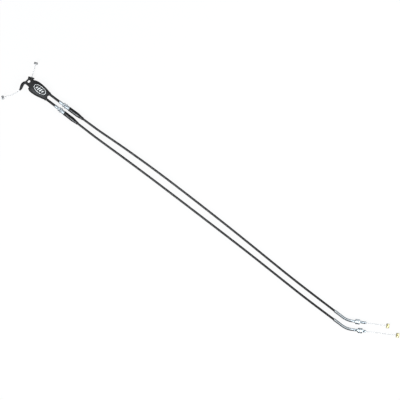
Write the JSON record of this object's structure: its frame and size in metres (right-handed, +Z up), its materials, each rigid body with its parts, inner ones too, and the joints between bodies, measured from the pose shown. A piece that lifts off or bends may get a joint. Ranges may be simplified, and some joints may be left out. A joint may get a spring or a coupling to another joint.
{
  "type": "motorcycle throttle cable pair",
  "caption": "Pull and push throttle cables with a hooked grip guide under a rubber cover, inline screw adjusters with boots, bent end tubes with nuts, and wire nipples.",
  "frame": {"origin": "middle of the pull wire's mouth in the guide collar's outer face", "axes": "+X along the cables from the twist grip towards the carburettor, +Z up out of the badge face of the rubber cover, the pull cable on the +Y side of the push cable; all centre lines lie in z = 0"},
  "size_m": [1.0408, 0.1267, 0.0184],
  "materials": {
    "moulded_black": "satin black moulding",
    "cover_rubber": "matte black rubber",
    "boot_rubber": "smooth black rubber",
    "liner": "translucent white tube",
    "casing_vinyl": "black extruded jacket",
    "spring_steel": "wound flat wire",
    "wire_steel": "stranded wire",
    "zinc_alloy": "dull cast zinc",
    "brass": "turned brass",
    "bright_plate": "bright plating",
    "zinc_plate": "pale zinc plating"
  },
  "bodies": {
    "guide_assembly": {"cable_guide": "moulded_black", "pull_guide_liner": "liner", "pull_guide_ferrule": "zinc_plate", "pull_short_liner": "liner", "pull_short_conduit": "spring_steel", "pull_short_jacket": "casing_vinyl", "pull_adjuster_screw": "zinc_plate", "push_guide_liner": "liner", "push_guide_ferrule": "zinc_plate", "push_short_liner": "liner", "push_short_conduit": "spring_steel", "push_short_jacket": "casing_vinyl", "push_adjuster_screw": "zinc_plate"},
    "cover": {"guide_cover": "cover_rubber"},
    "pull_line": {"pull_swivel_ferrule": "zinc_plate", "pull_long_liner": "liner", "pull_long_conduit": "spring_steel", "pull_long_jacket": "casing_vinyl", "pull_core_wire": "wire_steel", "pull_elbow_tube": "bright_plate"},
    "pull_lock_nut": {"pull_lock_nut": "zinc_plate"},
    "pull_adjuster_barrel": {"pull_adjuster_barrel": "zinc_plate"},
    "pull_adjuster_boot": {"pull_adjuster_boot": "boot_rubber"},
    "pull_inner_nut": {"pull_inner_nut": "zinc_plate"},
    "pull_outer_nut": {"pull_outer_nut": "zinc_plate"},
    "pull_throttle_end": {"pull_throttle_wire": "wire_steel", "pull_throttle_nipple": "zinc_alloy"},
    "pull_carb_end": {"pull_carb_wire": "wire_steel", "pull_carb_nipple": "brass"},
    "push_line": {"push_swivel_ferrule": "zinc_plate", "push_long_liner": "liner", "push_long_conduit": "spring_steel", "push_long_jacket": "casing_vinyl", "push_core_wire": "wire_steel", "push_elbow_tube": "bright_plate"},
    "push_lock_nut": {"push_lock_nut": "zinc_plate"},
    "push_adjuster_barrel": {"push_adjuster_barrel": "zinc_plate"},
    "push_adjuster_boot": {"push_adjuster_boot": "boot_rubber"},
    "push_inner_nut": {"push_inner_nut": "zinc_plate"},
    "push_outer_nut": {"push_outer_nut": "zinc_plate"},
    "push_throttle_end": {"push_throttle_wire": "wire_steel", "push_throttle_nipple": "zinc_alloy"},
    "push_carb_end": {"push_carb_wire": "wire_steel", "push_carb_nipple": "brass"}
  },
  "joints": [
    {"name": "cover_slide", "type": "slide", "parent": "guide_assembly", "child": "cover", "axis": [1, 0, 0], "range_m": [0, 0.017]},
    {"name": "pull_adjust_slide", "type": "slide", "parent": "guide_assembly", "child": "pull_line", "axis": [0.9998, 0.0175, 0], "range_m": [0, 0.008]},
    {"name": "pull_barrel_turn", "type": "hinge", "parent": "pull_line", "child": "pull_adjuster_barrel", "pos_m": [0.11499, -0.00537, 0], "axis": [0.9998, 0.0175, 0], "range_deg": [0, 2880]},
    {"name": "pull_lock_nut_slide", "type": "slide", "parent": "guide_assembly", "child": "pull_lock_nut", "axis": [0.9998, 0.0175, 0], "range_m": [-0.0018, 0]},
    {"name": "pull_boot_slide", "type": "slide", "parent": "pull_line", "child": "pull_adjuster_boot", "axis": [0.9998, 0.0175, 0], "range_m": [0, 0.026]},
    {"name": "pull_inner_nut_slide", "type": "slide", "parent": "pull_line", "child": "pull_inner_nut", "axis": [0.8712, 0.4909, 0], "range_m": [-0.0056, 0]},
    {"name": "pull_outer_nut_slide", "type": "slide", "parent": "pull_line", "child": "pull_outer_nut", "axis": [0.8712, 0.4909, 0], "range_m": [0, 0.0135]},
    {"name": "pull_throttle_pull", "type": "slide", "parent": "guide_assembly", "child": "pull_throttle_end", "axis": [-0.3665, 0.9304, 0], "range_m": [-0.02, 0.03], "deforming": ["pull_throttle_wire"]},
    {"name": "pull_carb_pull", "type": "slide", "parent": "pull_line", "child": "pull_carb_end", "axis": [0.8712, 0.4909, 0], "range_m": [-0.03, 0.02], "deforming": ["pull_carb_wire"]},
    {"name": "push_adjust_slide", "type": "slide", "parent": "guide_assembly", "child": "push_line", "axis": [0.9999, -0.0105, 0], "range_m": [0, 0.008]},
    {"name": "push_barrel_turn", "type": "hinge", "parent": "push_line", "child": "push_adjuster_barrel", "pos_m": [0.115, -0.01971, 0], "axis": [0.9999, -0.0105, 0], "range_deg": [0, 2880]},
    {"name": "push_lock_nut_slide", "type": "slide", "parent": "guide_assembly", "child": "push_lock_nut", "axis": [0.9999, -0.0105, 0], "range_m": [-0.0007, 0]},
    {"name": "push_boot_slide", "type": "slide", "parent": "push_line", "child": "push_adjuster_boot", "axis": [0.9999, -0.0105, 0], "range_m": [0, 0.026]},
    {"name": "push_inner_nut_slide", "type": "slide", "parent": "push_line", "child": "push_inner_nut", "axis": [0.8652, 0.5015, 0], "range_m": [-0.0121, 0]},
    {"name": "push_outer_nut_slide", "type": "slide", "parent": "push_line", "child": "push_outer_nut", "axis": [0.8652, 0.5015, 0], "range_m": [0, 0.007]},
    {"name": "push_throttle_pull", "type": "slide", "parent": "guide_assembly", "child": "push_throttle_end", "axis": [-0.6018, -0.7986, 0], "range_m": [-0.026, 0.03], "deforming": ["push_throttle_wire"]},
    {"name": "push_carb_pull", "type": "slide", "parent": "push_line", "child": "push_carb_end", "axis": [0.8652, 0.5015, 0], "range_m": [-0.03, 0.026], "deforming": ["push_carb_wire"]}
  ],
  "couplings": [
    {"joint": "pull_barrel_turn", "follows": "pull_adjust_slide", "rad_per_m": 6283.2},
    {"joint": "pull_carb_pull", "follows": "pull_throttle_pull", "ratio": -1},
    {"joint": "push_barrel_turn", "follows": "push_adjust_slide", "rad_per_m": 6283.2},
    {"joint": "push_carb_pull", "follows": "push_throttle_pull", "ratio": -1}
  ]
}
